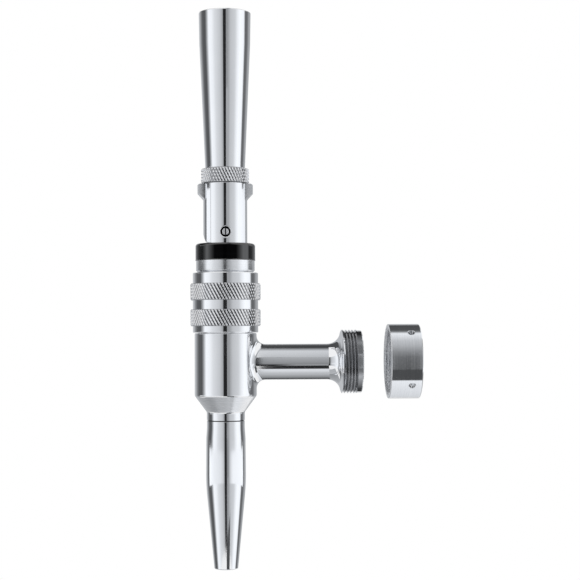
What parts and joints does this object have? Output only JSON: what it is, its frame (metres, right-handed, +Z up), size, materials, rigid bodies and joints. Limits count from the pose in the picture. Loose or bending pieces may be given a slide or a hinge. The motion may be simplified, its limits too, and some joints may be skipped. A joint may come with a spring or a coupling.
{
  "type": "beer faucet",
  "caption": "Side-lever stout faucet with a tapered pull handle, cam-lifted valve, knurled bonnet nut, long tapered spout and a threaded side inlet with its coupling nut.",
  "frame": {"origin": "centre of the arm's inlet face, where the shank butts", "axes": "+X out of the inlet towards the shank, +Z up the faucet's axis, which stands 61.05 mm behind the origin along -X"},
  "size_m": [0.1028, 0.0334, 0.2497],
  "materials": {
    "polished_steel": "polished stainless steel",
    "knurled_steel": "polished stainless steel with a diamond knurl",
    "brushed_steel": "turned stainless steel",
    "spring_steel": "drawn spring wire",
    "black_acetal": "turned black acetal, satin gloss",
    "white_plastic": "moulded white plastic",
    "seal_rubber": "matt black rubber",
    "bush_bronze": "sintered bronze"
  },
  "bodies": {
    "faucet": {"faucet_body": "polished_steel", "inlet_arm": "polished_steel", "inlet_ferrule": "polished_steel", "inlet_gasket": "seal_rubber", "spout": "polished_steel", "spout_o_ring": "seal_rubber", "restrictor_plate": "brushed_steel", "flow_straightener": "white_plastic", "bonnet_nut": "knurled_steel", "guide_bush": "white_plastic", "bush_o_ring": "seal_rubber", "spring_housing": "brushed_steel", "cam_cap": "black_acetal", "return_spring": "spring_steel"},
    "shaft": {"valve_shaft": "polished_steel", "shaft_o_ring_lower": "seal_rubber", "shaft_o_ring_upper": "seal_rubber", "shaft_clip": "spring_steel", "spring_washer": "brushed_steel", "valve_seal": "seal_rubber", "seal_screw": "brushed_steel", "pivot_bush": "bush_bronze"},
    "lever": {"lever": "polished_steel", "pivot_screw": "brushed_steel", "handle_stud": "brushed_steel", "lock_collar": "knurled_steel", "handle": "polished_steel"},
    "nut": {"coupling_nut": "brushed_steel"}
  },
  "joints": [
    {"name": "shaft_lift", "type": "slide", "parent": "faucet", "child": "shaft", "axis": [0, 0, 1], "range_m": [0, 0.003], "stiffness_N_per_m": 2500, "springref_m": -0.004, "deforming": ["return_spring"]},
    {"name": "lever_pull", "type": "hinge", "parent": "shaft", "child": "lever", "pos_m": [-0.06105, 0, 0.0581], "axis": [0, -1, 0], "range_deg": [0, 30]},
    {"name": "nut_slide", "type": "slide", "parent": "faucet", "child": "nut", "axis": [-1, 0, 0], "range_m": [0, 0.019]}
  ],
  "couplings": [
    {"joint": "shaft_lift", "follows": "lever_pull", "m_per_rad": 0.00567}
  ]
}
